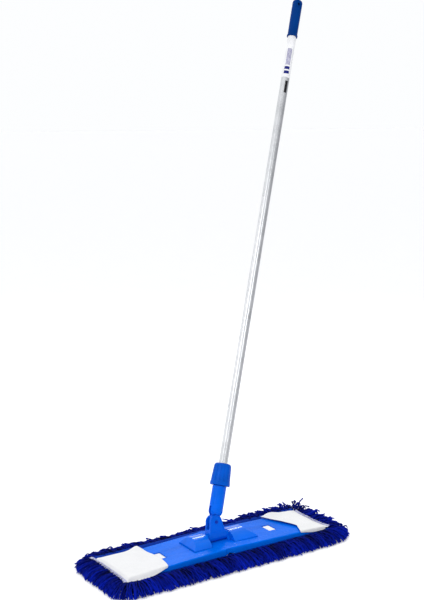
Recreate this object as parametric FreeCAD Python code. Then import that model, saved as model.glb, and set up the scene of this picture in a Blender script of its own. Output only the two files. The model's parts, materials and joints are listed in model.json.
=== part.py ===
import FreeCAD, Part
import math
import os

from FreeCAD import Vector

# Flat mop: folding frame, pocket pad with yarn fringe, two-way joint, twist-lock pole.
# Millimetres. +Z up, +X along the frame, +Y to the back.
# The origin is on the floor, under the centre of the joint.

# ---- pad -------------------------------------------------------------------
PILE_TOP = 15.5
BACKING_BOTTOM = 16.0
BACKING_TOP = 19.0
PAD_LEFT = -304.0
PAD_RIGHT = 320.0
PAD_FRONT = -76.0
PAD_BACK = 94.0
CENTRE_HALF = 20.0        # half width of the pad strip that stays under the joint
SOFT_GAP = 0.3            # room between neighbouring soft solids
FRINGE_LEFT = -357.0
FRINGE_RIGHT = 380.0
FRINGE_FRONT = -133.0
FRINGE_BACK = 152.0
FRINGE_CORNER = 42.0      # plan radius of the fringe's outer corners
FRINGE_SECTION = [(0.0, 0.0), (0.0, 19.0), (0.34, 21.0), (0.72, 14.0), (0.95, 5.0), (1.0, 0.0)]
FRINGE_END_SECTION = [(0.0, 0.0), (0.0, 18.5), (0.3, 20.0), (0.7, 13.5), (0.94, 5.0), (1.0, 0.0)]
POCKET_MOUTH = 188.0      # distance of the pocket's mouth from the hinge line
POCKET_SHEET = 1.2
POCKET_LIFT = 0.6         # room between the pocket and the wing's top
POCKET_SIDE_GAP = 0.8     # room between the pocket and the wing's walls
SEAM_INSET = 2.0
HEM_WIDTH = (1.6, 3.0)    # inside and outside the pad's end
HEM_HEIGHT = (1.7, 3.2)   # above the backing

# ---- frame wings -----------------------------------------------------------
WING_REACH = 290.0
WING_HALF_WIDTH = 67.0
WING_BOTTOM = 19.5
WING_TOP = 37.0           # top face at the hinge line
WING_SLOPE = 0.031        # fall of the top face per millimetre outwards
SKIN = 3.0
WALL = 2.5
RIB = 2.0
HINGE_Z = 24.0            # fold axis, along Y at x = 0
BUTT_GAP = 0.3            # half of the gap between the wings' butting faces
KNUCKLE_R = 4.5
ROD_R = 2.5
ROD_HALF = 64.3
RUNNING_FIT = 0.05
INNER_KNUCKLE = (27.5, 49.7)
OUTER_KNUCKLE = (50.2, 62.0)
TONGUE_REACH = 12.0       # how far the right wing's corner tongues cross the hinge line
WINDOW_X = (157.0, 181.0)
WINDOW_HALF = 19.0
WING_CORNER_R = 18.0
WING_EDGE_R = 3.0
FOOT_START = 16.0         # the wing's foot begins this far from the hinge line
LONG_RIB_Y = 30.0
LONG_RIB_END = 236.0
RIB_HALF_SPAN = 65.5
WINDOW_RIB_GAP = 7.0
TONGUE_INNER_Y = 52.0
TONGUE_BOTTOM = 29.0
TONGUE_EDGE_BOTTOM = 25.2
THROUGH = (0.0, 60.0)     # height range of cuts that go right through a wing

# ---- joint base ------------------------------------------------------------
BASE_HALF_X = 34.0
BASE_HALF_Y = 26.0
BASE_BOTTOM = 19.8
BASE_DECK = 34.5
EAR_THICK = 6.5
LOWER_Z = 46.0            # front-back tilt axis, along X
EAR_R = 10.0
EAR_FOOT = 17.0
DECK_WALL = 3.0
DECK_SKIN = 4.0
ROD_WEB_HALF = 6.0
KEEPER_Z = (36.0, 40.0)   # pocket that the pedal's latch nose reaches into
KEEPER_HALF = 9.0
PRESS_FIT = 0.02

# ---- pedals ----------------------------------------------------------------
PEDAL_INNER = 34.5
PEDAL_OUTER = {"left": 87.0, "right": 106.0}
PEDAL_HALF = 37.0
PEDAL_CREST = 57.0
PEDAL_SPRING_LINE = 36.0  # height where the dome meets its upright skirt
PEDAL_SKIRT = 30.0
PEDAL_AXLE_X = {"left": 60.0, "right": 66.0}
PEDAL_AXLE_Z = 29.0
PEDAL_AXLE_R = 2.0
PEDAL_WALL = 2.5
PEDAL_END_SLOPE = {"left": 15.0, "right": 30.0}
PEDAL_RIM_R = 1.6
WELL_GAP = 1.5
LUG_Y = (29.0, 33.0)
LUG_R = 4.5
LUG_TOP = 40.5
NOSE_Z = (36.8, 39.2)
NOSE_HALF = 8.0
SEAT_Z = (20.2, 22.0)     # shelf under the leaf spring
SEAT_LENGTH = 17.0
SPRING_Z = (22.1, 32.8)
SPRING_LEAF = 0.8
SPRING_HALF = 4.0
SPRING_INSET = 9.0        # spring's middle, inwards of the pedal's outer end

# ---- yoke and its tilt at rest ---------------------------------------------
YOKE_RISE = 36.5          # lower axis to upper axis
YOKE_HALF_Y = 12.0
YOKE_BARREL_HALF = 27.0
YOKE_HEAD_R = 17.5
SLOT_HALF = 7.0
TONGUE_HALF = 6.6
PIVOT_PIN_R = 3.0
PIN_HEAD_R = 5.0
YOKE_FOOT_HALF = 26.0
YOKE_PANEL_INSET = 3.6
YOKE_SLOT_FLOOR = 20.5
TILT_BACK_DEG = 14.1      # yoke leans towards +Y
TILT_SIDE_DEG = 20.35     # socket leans towards +X in the yoke's plane

# ---- socket and collar, heights along the pole from the upper axis ----------
SOCKET_R = 18.2
SOCKET_START = 18.5
NECK_START = 95.0
NECK_R = 14.2
NECK_END = 138.0
SOCKET_FLOOR = 44.0
COLLAR_START = 93.0
COLLAR_END = 150.0
COLLAR_R_LOW = 26.0
COLLAR_R_HIGH = 22.4
COLLAR_FLUTES = 14
FLUTE_R = (2.6, 2.1)      # groove radius at the foot and at the crown
TONGUE_R = 11.5
CORE_HALF = 4.2           # moulded hollows in the socket's two sides
CORE_Z = (14.0, 38.0)
CORE_START = 7.0
SLIT_HALF = 0.8
SLIT_DEPTH = 26.0
SLEEVE_R = 16.0

# ---- pole ------------------------------------------------------------------
TUBE_R = 11.75
TUBE_WALL = 1.05
TUBE_START = 46.4
TUBE_LENGTH = 1400.0
TUBE_FLUTES = 20
FLUTE_DEPTH = 0.45
GRIP_START = 1370.0
GRIP_END = 1485.0
GRIP_R = 14.2
GRIP_FLAT_HALF = 9.0      # the hang hole passes between these two flats
HANG_HOLE_R = 4.5
HANG_HOLE_DROP = 14.0     # hang hole centre below the grip's top
GRIP_CROWN_R = 9.0
GRIP_FLAT_LENGTH = 27.0
LABEL_SKIN = (0.05, 0.45)
LABEL_LENGTH = 128.0

ORIGIN = Vector(0, 0, 0)
X_AXIS = Vector(1, 0, 0)
Y_AXIS = Vector(0, 1, 0)
Z_AXIS = Vector(0, 0, 1)
SIDES = {"left": -1.0, "right": 1.0}


# ---- helpers ---------------------------------------------------------------
def box(x, y, z):
    """Box from three (low, high) pairs in any order."""
    lows = [min(pair) for pair in (x, y, z)]
    sizes = [abs(pair[1] - pair[0]) for pair in (x, y, z)]
    return Part.makeBox(*sizes, Vector(*lows))


def cylinder(radius, start, end, axis, at=ORIGIN):
    """Cylinder along a unit axis through a point, from start to end along it."""
    return Part.makeCylinder(radius, end - start, at + axis * start, axis)


def prism_y(outline, y_low, y_high):
    """Solid with an (x, z) outline, from y_low to y_high."""
    points = [Vector(x, y_low, z) for x, z in outline]
    face = Part.Face(Part.makePolygon(points + points[:1]))
    return face.extrude(Vector(0, y_high - y_low, 0))


def prism_x(outline, x_low, x_high):
    """Solid with a (y, z) outline, from x_low to x_high."""
    points = [Vector(x_low, y, z) for y, z in outline]
    face = Part.Face(Part.makePolygon(points + points[:1]))
    return face.extrude(Vector(x_high - x_low, 0, 0))


def turned(profile):
    """Solid of revolution about Z from an (r, z) outline."""
    points = [Vector(r, 0, z) for r, z in profile]
    face = Part.Face(Part.makePolygon(points + points[:1]))
    return face.revolve(ORIGIN, Z_AXIS, 360)


def edges_where(shape, test):
    """Edges whose two ends both pass the test."""
    chosen = []
    for edge in shape.Edges:
        if len(edge.Vertexes) == 2 and all(test(v.Point) for v in edge.Vertexes):
            chosen.append(edge)
    return chosen


def upright_edges(edges):
    """The edges whose two ends are at different heights."""
    return [edge for edge in edges if abs(edge.Vertexes[0].Point.z - edge.Vertexes[1].Point.z) > 1]


def wing_top(u):
    """Height of the wing's top face at the distance u from the hinge line."""
    return WING_TOP - WING_SLOPE * u


# ---- wings -----------------------------------------------------------------
def wing_block(side):
    """Full outer form of a wing, with rounded tip corners and top edges."""
    outline = [
        (side * BUTT_GAP, WING_TOP),
        (side * WING_REACH, wing_top(WING_REACH)),
        (side * WING_REACH, WING_BOTTOM),
        (side * FOOT_START, WING_BOTTOM),
        (side * BUTT_GAP, HINGE_Z),
    ]
    block = prism_y(outline, -WING_HALF_WIDTH, WING_HALF_WIDTH)
    corners = edges_where(block, lambda p: abs(p.x) > WING_REACH - 1 and abs(p.y) > WING_HALF_WIDTH - 0.1)
    block = block.makeFillet(WING_CORNER_R, upright_edges(corners))
    top = []
    for edge in block.Edges:
        middle = edge.valueAt((edge.FirstParameter + edge.LastParameter) / 2)
        on_top = abs(middle.z - wing_top(abs(middle.x))) < 0.2
        on_side = abs(middle.y) > WING_HALF_WIDTH - 8 or abs(middle.x) > WING_REACH - 8
        if on_top and on_side:
            top.append(edge)
    return block.makeFillet(WING_EDGE_R, top)


def wing_ribs(side, well_end):
    """Stiffening ribs under the skin, clear of the window."""
    ribs = []
    height = (WING_BOTTOM + 1, WING_TOP)
    for y in (-LONG_RIB_Y, LONG_RIB_Y):
        ribs.append(box((side * well_end, side * (WING_REACH - 1)), (y - RIB / 2, y + RIB / 2), height))
    places = (well_end + 16.0, WINDOW_X[0] - WINDOW_RIB_GAP, WINDOW_X[1] + WINDOW_RIB_GAP, LONG_RIB_END)
    for u in places:
        ribs.append(box((side * (u - RIB / 2), side * (u + RIB / 2)), (-RIB_HALF_SPAN, RIB_HALF_SPAN), height))
    return ribs


def knuckles(y_range, radius):
    """A pair of hinge knuckles round the fold axis, one at the front, one at the back."""
    at = Vector(0, 0, HINGE_Z)
    pair = []
    for sign in (-1, 1):
        low, high = sorted((sign * y_range[0], sign * y_range[1]))
        pair.append(cylinder(radius, low, high, Y_AXIS, at))
    return pair


def corner_tongues(reach, low_gap, grow):
    """Tongues at the front and back edge that cross the hinge line to the left."""
    pieces = []
    for sign in (-1, 1):
        wide = (sign * (TONGUE_INNER_Y - grow), sign * (WING_HALF_WIDTH + grow))
        edge = (sign * (WING_HALF_WIDTH - WALL - grow), sign * (WING_HALF_WIDTH + grow))
        pieces.append(box((-reach, 2.0), wide, (TONGUE_BOTTOM - low_gap, WING_TOP + grow)))
        pieces.append(box((-reach, 2.0), edge, (TONGUE_EDGE_BOTTOM - low_gap, WING_TOP + grow)))
    return pieces


def wing_hollow(side):
    """The space under the wing's skin, inside its edge walls."""
    inner = FOOT_START - 1
    outer = WING_REACH - WALL
    outline = [
        (side * inner, WING_BOTTOM - 1),
        (side * inner, wing_top(inner) - SKIN),
        (side * outer, wing_top(outer) - SKIN),
        (side * outer, WING_BOTTOM - 1),
    ]
    return prism_y(outline, -WING_HALF_WIDTH + WALL, WING_HALF_WIDTH - WALL)


def wing_body(name):
    """Skin, edge walls, ribs and pedal well, with the window and the joint base's notch cut out."""
    side = SIDES[name]
    outer = wing_block(side)
    well_x = (side * (PEDAL_INNER - WELL_GAP), side * (PEDAL_OUTER[name] + WELL_GAP))
    well_y = PEDAL_HALF + WELL_GAP
    casing_x = (well_x[0], well_x[1] + side * RIB)
    casing = box(casing_x, (-well_y - RIB, well_y + RIB), (WING_BOTTOM + 0.5, WING_TOP))
    stiffeners = wing_ribs(side, abs(casing_x[1]) - 1)
    inside = outer.common(casing.fuse(stiffeners))
    shape = outer.cut(wing_hollow(side)).fuse(inside)
    shape = shape.cut(box(well_x, (-well_y, well_y), THROUGH))
    shape = shape.fuse(spring_seat(name))
    window = box((side * WINDOW_X[0], side * WINDOW_X[1]), (-WINDOW_HALF, WINDOW_HALF), THROUGH)
    notch_y = BASE_HALF_Y + 0.6
    notch = box((-side, side * (BASE_HALF_X + 1.0)), (-notch_y, notch_y), THROUGH)
    return shape.cut([window, notch])


def wing(name):
    """One moulded wing with its hinge knuckles and bores."""
    shape = wing_body(name)
    if name == "right":
        shape = shape.fuse(knuckles(OUTER_KNUCKLE, KNUCKLE_R) + corner_tongues(TONGUE_REACH, 0.0, 0.0))
        shape = shape.cut(knuckles((INNER_KNUCKLE[0] - 1.0, OUTER_KNUCKLE[0]), KNUCKLE_R + 0.5))
    else:
        shape = shape.cut(knuckles((INNER_KNUCKLE[1], WING_HALF_WIDTH + 1.0), KNUCKLE_R + 0.5))
        shape = shape.cut(corner_tongues(TONGUE_REACH + 0.5, 0.5, 0.4))
        shape = shape.fuse(knuckles(INNER_KNUCKLE, KNUCKLE_R))
    bore = cylinder(ROD_R + RUNNING_FIT, -ROD_HALF - 0.4, ROD_HALF + 0.4, Y_AXIS, Vector(0, 0, HINGE_Z))
    clip_room = knuckles((OUTER_KNUCKLE[1], ROD_HALF + 0.4), KNUCKLE_R + 0.3)
    axle_at = Vector(SIDES[name] * PEDAL_AXLE_X[name], 0, PEDAL_AXLE_Z)
    axle_half = PEDAL_HALF + WELL_GAP + RIB + 1
    axle_bore = cylinder(PEDAL_AXLE_R + PRESS_FIT, -axle_half, axle_half, Y_AXIS, axle_at)
    return shape.cut([bore, axle_bore] + clip_room).removeSplitter()


def spring_seat(name):
    """Shelf across the pedal well that the leaf spring stands on."""
    side = SIDES[name]
    outer = PEDAL_OUTER[name] + WELL_GAP + 0.5
    reach = PEDAL_HALF + WELL_GAP + 0.5
    return box((side * (outer - SEAT_LENGTH), side * outer), (-reach, reach), SEAT_Z)


# ---- pedals ----------------------------------------------------------------
def dome(side, inner, outer, half, crest, base, end_slope):
    """Segment of a cylinder along X with an upright skirt and a sloping outer end."""
    rise = crest - PEDAL_SPRING_LINE
    radius = (half * half + rise * rise) / (2 * rise)
    tube = cylinder(radius, inner, outer, X_AXIS * side, Vector(0, 0, crest - radius))
    keep = box((side * inner, side * outer), (-half, half), (base, crest + 1))
    skirt = box((side * inner, side * outer), (-half, half), (base, PEDAL_SPRING_LINE))
    body = tube.common(keep).fuse(skirt)
    top = crest + 1
    wedge = prism_y(
        [
            (side * outer, PEDAL_SPRING_LINE + 2.0),
            (side * (outer - end_slope), top),
            (side * (outer + 1), top),
            (side * (outer + 1), PEDAL_SPRING_LINE + 2.0),
        ],
        -half - 1,
        half + 1,
    )
    return body.cut(wedge).removeSplitter()


def pedal_lugs(side, axle_x):
    """Two lugs that hang from the pedal's shell round the axle."""
    lugs = []
    for sign in (-1, 1):
        low, high = sorted((sign * LUG_Y[0], sign * LUG_Y[1]))
        width = (side * (axle_x - LUG_R), side * (axle_x + LUG_R))
        lugs.append(box(width, (low, high), (PEDAL_AXLE_Z, LUG_TOP)))
        lugs.append(cylinder(LUG_R, low, high, Y_AXIS, Vector(side * axle_x, 0, PEDAL_AXLE_Z)))
    return lugs


def pedal(name):
    """Rocking foot pedal: domed shell, two axle lugs and the latch nose."""
    side = SIDES[name]
    outer = PEDAL_OUTER[name]
    slope = PEDAL_END_SLOPE[name]
    axle_x = PEDAL_AXLE_X[name]
    wall = PEDAL_WALL
    form = dome(side, PEDAL_INNER, outer, PEDAL_HALF, PEDAL_CREST, PEDAL_SKIRT, slope)
    rim = edges_where(form, lambda p: p.z > PEDAL_SPRING_LINE + 1)
    form = form.makeFillet(PEDAL_RIM_R, [edge for edge in rim if edge.Length > 30])
    crest = PEDAL_CREST - wall
    core = dome(side, PEDAL_INNER + wall, outer - wall, PEDAL_HALF - wall, crest, PEDAL_SKIRT - 1, slope)
    nose = box((side * (PEDAL_INNER - 0.2), side * (PEDAL_INNER + 1)), (-NOSE_HALF, NOSE_HALF), NOSE_Z)
    pad = box((side * (outer - 13.0), side * (outer - 5.0)), (-5.0, 5.0), (SPRING_Z[1] + 0.2, 46.0))
    shell = form.cut(core).fuse(pedal_lugs(side, axle_x) + [nose, pad.common(form)])
    axle_at = Vector(side * axle_x, 0, PEDAL_AXLE_Z)
    bore = cylinder(PEDAL_AXLE_R + RUNNING_FIT, -PEDAL_HALF - 2, PEDAL_HALF + 2, Y_AXIS, axle_at)
    return shell.cut(bore).removeSplitter()


def pedal_axle(name):
    """Steel axle held in the well's side walls."""
    half = PEDAL_HALF + WELL_GAP + RIB
    at = Vector(SIDES[name] * PEDAL_AXLE_X[name], 0, PEDAL_AXLE_Z)
    return cylinder(PEDAL_AXLE_R, -half, half, Y_AXIS, at)


def pedal_spring(name):
    """Leaf spring folded like a Z between the well's shelf and the pedal."""
    side = SIDES[name]
    mid = PEDAL_OUTER[name] - SPRING_INSET
    low, high = SPRING_Z
    low_face = low + SPRING_LEAF
    high_face = high - SPRING_LEAF
    outline = [
        (side * (mid + 5), low), (side * (mid - 5), low), (side * (mid - 5), low_face),
        (side * (mid + 2.5), low_face), (side * (mid - 5), high_face), (side * (mid - 5), high),
        (side * (mid + 3), high), (side * (mid + 3), high_face), (side * (mid - 3.6), high_face),
        (side * (mid + 5), low_face),
    ]
    return prism_y(outline, -SPRING_HALF, SPRING_HALF)


# ---- joint base ------------------------------------------------------------
def base_deck():
    """Deck between the wings, hollow underneath on both sides of the hinge rod's web."""
    deck = box((-BASE_HALF_X, BASE_HALF_X), (-BASE_HALF_Y, BASE_HALF_Y), (BASE_BOTTOM, BASE_DECK))
    deck = deck.makeFillet(2.0, edges_where(deck, lambda p: abs(p.z - BASE_DECK) < 0.1))
    inner_x = (-BASE_HALF_X + DECK_WALL, BASE_HALF_X - DECK_WALL)
    hollow_z = (BASE_BOTTOM - 1, BASE_DECK - DECK_SKIN)
    hollows = [box(inner_x, (sign * 8.0, sign * (BASE_HALF_Y - DECK_WALL)), hollow_z) for sign in (-1, 1)]
    web_z = (BASE_BOTTOM, BASE_DECK - DECK_WALL)
    web = box((-ROD_WEB_HALF, ROD_WEB_HALF), (-BASE_HALF_Y, BASE_HALF_Y), web_z)
    return deck.cut(hollows).fuse(web)


def base_ear(sign):
    """One ear for the lower pivot pin, and what is cut out of it."""
    at = Vector(0, 0, LOWER_Z)
    low, high = sorted((sign * (BASE_HALF_X - EAR_THICK), sign * BASE_HALF_X))
    outline = [
        (-EAR_FOOT, BASE_DECK - 1),
        (EAR_FOOT, BASE_DECK - 1),
        (EAR_R - 0.8, LOWER_Z + 2),
        (-EAR_R + 0.8, LOWER_Z + 2),
    ]
    solid = prism_x(outline, low, high).fuse(cylinder(EAR_R, low, high, X_AXIS, at))
    room_low, room_high = sorted((sign * (BASE_HALF_X - 2.2), sign * (BASE_HALF_X + 1)))
    head_room = cylinder(PIN_HEAD_R + 0.3, room_low, room_high, X_AXIS, at)
    keeper_x = (sign * (BASE_HALF_X - 2.0), sign * (BASE_HALF_X + 1))
    keeper = box(keeper_x, (-KEEPER_HALF, KEEPER_HALF), KEEPER_Z)
    return solid, [head_room, keeper]


def joint_base():
    """Cradle: deck between the wings with two ears for the lower pivot pin."""
    shape = base_deck()
    for sign in (-1, 1):
        ear, rooms = base_ear(sign)
        shape = shape.fuse(ear).cut(rooms)
    at = Vector(0, 0, LOWER_Z)
    inner = BASE_HALF_X - EAR_THICK
    trough = cylinder(YOKE_HALF_Y + 0.6, -inner, inner, X_AXIS, at)
    pin_bore = cylinder(PIVOT_PIN_R + PRESS_FIT, -BASE_HALF_X - 1, BASE_HALF_X + 1, X_AXIS, at)
    rod_at = Vector(0, 0, HINGE_Z)
    rod_bore = cylinder(ROD_R + PRESS_FIT, -BASE_HALF_Y - 1, BASE_HALF_Y + 1, Y_AXIS, rod_at)
    return shape.cut([trough, pin_bore, rod_bore]).removeSplitter()


def hinge_rod():
    return cylinder(ROD_R, -ROD_HALF, ROD_HALF, Y_AXIS, Vector(0, 0, HINGE_Z))


def hinge_rod_clips():
    """Push-on clips just outside the outer knuckles."""
    clips = []
    for sign in (-1, 1):
        start, end = sorted((sign * (OUTER_KNUCKLE[1] + 0.3), sign * (OUTER_KNUCKLE[1] + 1.3)))
        at = Vector(0, 0, HINGE_Z)
        ring = cylinder(4.0, start, end, Y_AXIS, at)
        clips.append(ring.cut(cylinder(ROD_R + 0.01, start - 1, end + 1, Y_AXIS, at)))
    return Part.makeCompound(clips)


def lower_pivot_pin():
    """Pin with a flat head, sunk in the ears."""
    at = Vector(0, 0, LOWER_Z)
    shank = cylinder(PIVOT_PIN_R, -BASE_HALF_X + 0.6, BASE_HALF_X - 0.6, X_AXIS, at)
    head = cylinder(PIN_HEAD_R, -BASE_HALF_X + 0.6, -BASE_HALF_X + 2.1, X_AXIS, at)
    return shank.fuse(head).removeSplitter()


def lower_pivot_clip():
    at = Vector(0, 0, LOWER_Z)
    ring = cylinder(4.8, BASE_HALF_X - 2.1, BASE_HALF_X - 1.1, X_AXIS, at)
    return ring.cut(cylinder(PIVOT_PIN_R + 0.01, BASE_HALF_X - 4, BASE_HALF_X + 1, X_AXIS, at))


# ---- yoke, built upright round the lower axis at the origin -------------------
def yoke_outline(inset=0.0):
    """Front view of the yoke: wide at the barrel, rounded at the upper pin."""
    low = YOKE_FOOT_HALF - inset
    arc_r = YOKE_HEAD_R - inset
    left = Vector(-arc_r, 0, YOKE_RISE)
    right = Vector(arc_r, 0, YOKE_RISE)
    top = Vector(0, 0, YOKE_RISE + arc_r)
    foot_left = Vector(-low, 0, inset)
    foot_right = Vector(low, 0, inset)
    edges = [
        Part.makeLine(foot_left, left),
        Part.Arc(left, top, right).toShape(),
        Part.makeLine(right, foot_right),
        Part.makeLine(foot_right, foot_left),
    ]
    return Part.Wire(edges)


def yoke_recess(sign):
    """Shallow panel in one face of the yoke, round a plain boss for the upper pin."""
    panel = Part.Face(yoke_outline(YOKE_PANEL_INSET))
    panel.translate(Vector(0, sign * YOKE_HALF_Y, 0))
    recess = panel.extrude(Vector(0, -sign, 0))
    low, high = sorted((sign * (YOKE_HALF_Y - 2), sign * (YOKE_HALF_Y + 1)))
    boss = cylinder(6.5, low, high, Y_AXIS, Vector(0, 0, YOKE_RISE))
    above_barrel = box((-40, 40), (-20, 20), (YOKE_HALF_Y + 1, 80))
    return recess.common(above_barrel).cut(boss)


def yoke():
    """Forked link with a barrel at its foot and a slot for the socket's tongue."""
    face = Part.Face(yoke_outline())
    face.translate(Vector(0, -YOKE_HALF_Y, 0))
    shape = face.extrude(Vector(0, 2 * YOKE_HALF_Y, 0))
    shape = shape.fuse(cylinder(YOKE_HALF_Y, -YOKE_BARREL_HALF, YOKE_BARREL_HALF, X_AXIS))
    slot = box((-40, 40), (-SLOT_HALF, SLOT_HALF), (YOKE_SLOT_FLOOR, 80))
    shape = shape.cut([slot, yoke_recess(-1), yoke_recess(1)])
    lower_bore = cylinder(PIVOT_PIN_R + RUNNING_FIT, -40, 40, X_AXIS)
    upper_bore = cylinder(PIVOT_PIN_R + PRESS_FIT, -30, 30, Y_AXIS, Vector(0, 0, YOKE_RISE))
    return shape.cut([lower_bore, upper_bore]).removeSplitter()


def upper_pivot_pin():
    at = Vector(0, 0, YOKE_RISE)
    shank = cylinder(PIVOT_PIN_R, -YOKE_HALF_Y - 0.1, YOKE_HALF_Y + 1.6, Y_AXIS, at)
    head = cylinder(4.3, -YOKE_HALF_Y - 1.4, -YOKE_HALF_Y - 0.1, Y_AXIS, at)
    return shank.fuse(head).removeSplitter()


def upper_pivot_washer():
    at = Vector(0, 0, YOKE_RISE)
    ring = cylinder(5.0, YOKE_HALF_Y + 0.1, YOKE_HALF_Y + 1.1, Y_AXIS, at)
    return ring.cut(cylinder(PIVOT_PIN_R + 0.01, 0, YOKE_HALF_Y + 4, Y_AXIS, at))


# ---- socket, collar and pole, built along +Z from the upper axis at the origin --
def socket_tongue():
    """Flat tongue in the yoke's slot, widening into the socket's round body."""
    tip = cylinder(TONGUE_R, -TONGUE_HALF, TONGUE_HALF, Y_AXIS)
    stem = box((-12.5, 12.5), (-TONGUE_HALF, TONGUE_HALF), (4.0, SOCKET_START + 6))
    notches = [box((sign * TONGUE_R, sign * 14), (-9, 9), (0, 9.0)) for sign in (-1, 1)]
    return [tip, stem.cut(notches)]


def socket():
    """Round pole socket with a flat tongue at its foot and a neck for the collar."""
    body = turned([
        (0, SOCKET_START), (SOCKET_R - 2.5, SOCKET_START), (SOCKET_R, SOCKET_START + 6),
        (SOCKET_R, NECK_START - 3.5), (NECK_R, NECK_START - 2.2), (NECK_R, NECK_END), (0, NECK_END),
    ])
    shape = body.fuse(socket_tongue())
    bore = cylinder(TUBE_R + RUNNING_FIT, SOCKET_FLOOR, NECK_END + 1, Z_AXIS)
    cores = [box((sign * CORE_START, sign * 20.0), (-CORE_HALF, CORE_HALF), CORE_Z) for sign in (-1, 1)]
    pin_bore = cylinder(PIVOT_PIN_R + RUNNING_FIT, -20, 20, Y_AXIS)
    wide = (-NECK_R - 1, NECK_R + 1)
    thin = (-SLIT_HALF, SLIT_HALF)
    slit_z = (NECK_END - SLIT_DEPTH, NECK_END + 1)
    slits = [box(wide, thin, slit_z), box(thin, wide, slit_z)]
    return shape.cut([bore, pin_bore] + cores + slits).removeSplitter()


def clamp_sleeve():
    """Split ring that the collar squeezes round the tube."""
    inner = TUBE_R + 0.12
    foot = NECK_END + 0.5
    crown = COLLAR_END - 3.2
    ring = turned([(inner, foot), (SLEEVE_R, foot), (SLEEVE_R - 1.0, crown), (inner, crown)])
    return ring.cut(box((0, 20), (-1.2, 1.2), (NECK_END, COLLAR_END)))


def collar_form():
    """Collar without its flutes: a plain rim at its foot and a rounded crown."""
    room = NECK_END + 0.3
    lid = COLLAR_END - 2.6
    return turned([
        (NECK_R + 0.4, COLLAR_START), (COLLAR_R_LOW - 1.0, COLLAR_START), (COLLAR_R_LOW, COLLAR_START + 1.2),
        (COLLAR_R_LOW, COLLAR_START + 8.0), (COLLAR_R_LOW - 0.9, COLLAR_START + 10.5),
        (COLLAR_R_HIGH, COLLAR_END - 7.0), (COLLAR_R_HIGH - 1.4, lid), (COLLAR_R_HIGH - 4.6, COLLAR_END),
        (TUBE_R + 0.5, COLLAR_END), (TUBE_R + 0.5, lid), (SLEEVE_R + 0.4, lid),
        (SLEEVE_R + 0.4, room), (NECK_R + 0.4, room),
    ])


def locking_collar():
    """Fluted twist collar that clamps the pole."""
    flutes = []
    low = COLLAR_START + 12.0
    high = COLLAR_END - 5.0
    foot = Vector(COLLAR_R_LOW + 0.1, 0, low)
    lean = math.degrees(math.atan2(COLLAR_R_LOW - 0.9 - COLLAR_R_HIGH, high - low))
    for i in range(COLLAR_FLUTES):
        groove = Part.makeCone(FLUTE_R[0], FLUTE_R[1], high - low, foot, Z_AXIS)
        groove.rotate(foot, Y_AXIS, -lean)
        groove.rotate(ORIGIN, Z_AXIS, 360.0 * i / COLLAR_FLUTES)
        flutes.append(groove)
    return collar_form().cut(flutes)


def pole_tube():
    """Ribbed aluminium tube."""
    points = []
    steps = TUBE_FLUTES * 4
    for i in range(steps):
        angle = 2 * math.pi * i / steps
        radius = TUBE_R - FLUTE_DEPTH if i % 4 == 2 else TUBE_R
        points.append(Vector(radius * math.cos(angle), radius * math.sin(angle), TUBE_START))
    outer = Part.Face(Part.makePolygon(points + points[:1])).extrude(Vector(0, 0, TUBE_LENGTH))
    return outer.cut(cylinder(TUBE_R - TUBE_WALL, TUBE_START - 1, TUBE_START + TUBE_LENGTH + 1, Z_AXIS))


def tube_end_plug():
    inside = cylinder(TUBE_R - TUBE_WALL - 0.05, TUBE_START - 0.2, TUBE_START + 16, Z_AXIS)
    return inside.fuse(cylinder(TUBE_R - 0.4, SOCKET_FLOOR + 0.4, TUBE_START - 0.2, Z_AXIS)).removeSplitter()


def grip_outline():
    """Profile of the grip: flared foot, slight waist and rounded top."""
    outline = [
        (0, GRIP_START), (GRIP_R + 1.0, GRIP_START), (GRIP_R + 1.0, GRIP_START + 4.0),
        (GRIP_R - 0.4, GRIP_START + 9.0), (GRIP_R, GRIP_START + 60.0), (GRIP_R, GRIP_END - GRIP_CROWN_R),
    ]
    for i in range(1, 7):
        angle = math.radians(15.0 * i)
        r = GRIP_R - GRIP_CROWN_R + GRIP_CROWN_R * math.cos(angle)
        outline.append((r, GRIP_END - GRIP_CROWN_R + GRIP_CROWN_R * math.sin(angle)))
    return outline + [(0, GRIP_END)]


def hand_grip():
    """Closed grip with two flats and a hang hole through them."""
    flats = []
    for sign in (-1, 1):
        flat_y = (sign * GRIP_FLAT_HALF, sign * 20)
        flats.append(box((-20, 20), flat_y, (GRIP_END - GRIP_FLAT_LENGTH, GRIP_END + 1)))
    bore = cylinder(TUBE_R + RUNNING_FIT, GRIP_START - 1, TUBE_START + TUBE_LENGTH + 0.4, Z_AXIS)
    hang = cylinder(HANG_HOLE_R, -20, 20, Y_AXIS, Vector(0, 0, GRIP_END - HANG_HOLE_DROP))
    return turned(grip_outline()).cut(flats + [bore, hang]).removeSplitter()


def label_sleeve():
    """Thin plain sleeve round the tube below the grip."""
    end = GRIP_START - 1.0
    start = end - LABEL_LENGTH
    ring = cylinder(TUBE_R + LABEL_SKIN[1], start, end, Z_AXIS)
    return ring.cut(cylinder(TUBE_R + LABEL_SKIN[0], start - 1, end + 1, Z_AXIS))


def on_lower_axis(shape):
    """Moves a piece built upright at the origin to the lower axis, leaning back."""
    moved = shape.copy()
    moved.rotate(ORIGIN, X_AXIS, -TILT_BACK_DEG)
    moved.translate(Vector(0, 0, LOWER_Z))
    return moved


def on_upper_axis(shape):
    """Moves a piece built along +Z from the upper axis to its leaning place."""
    moved = shape.copy()
    moved.rotate(ORIGIN, Y_AXIS, TILT_SIDE_DEG)
    moved.translate(Vector(0, 0, YOKE_RISE))
    return on_lower_axis(moved)


# ---- pad -------------------------------------------------------------------
def pad_reach(name):
    return {"left": PAD_LEFT, "right": PAD_RIGHT}[name]


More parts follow.
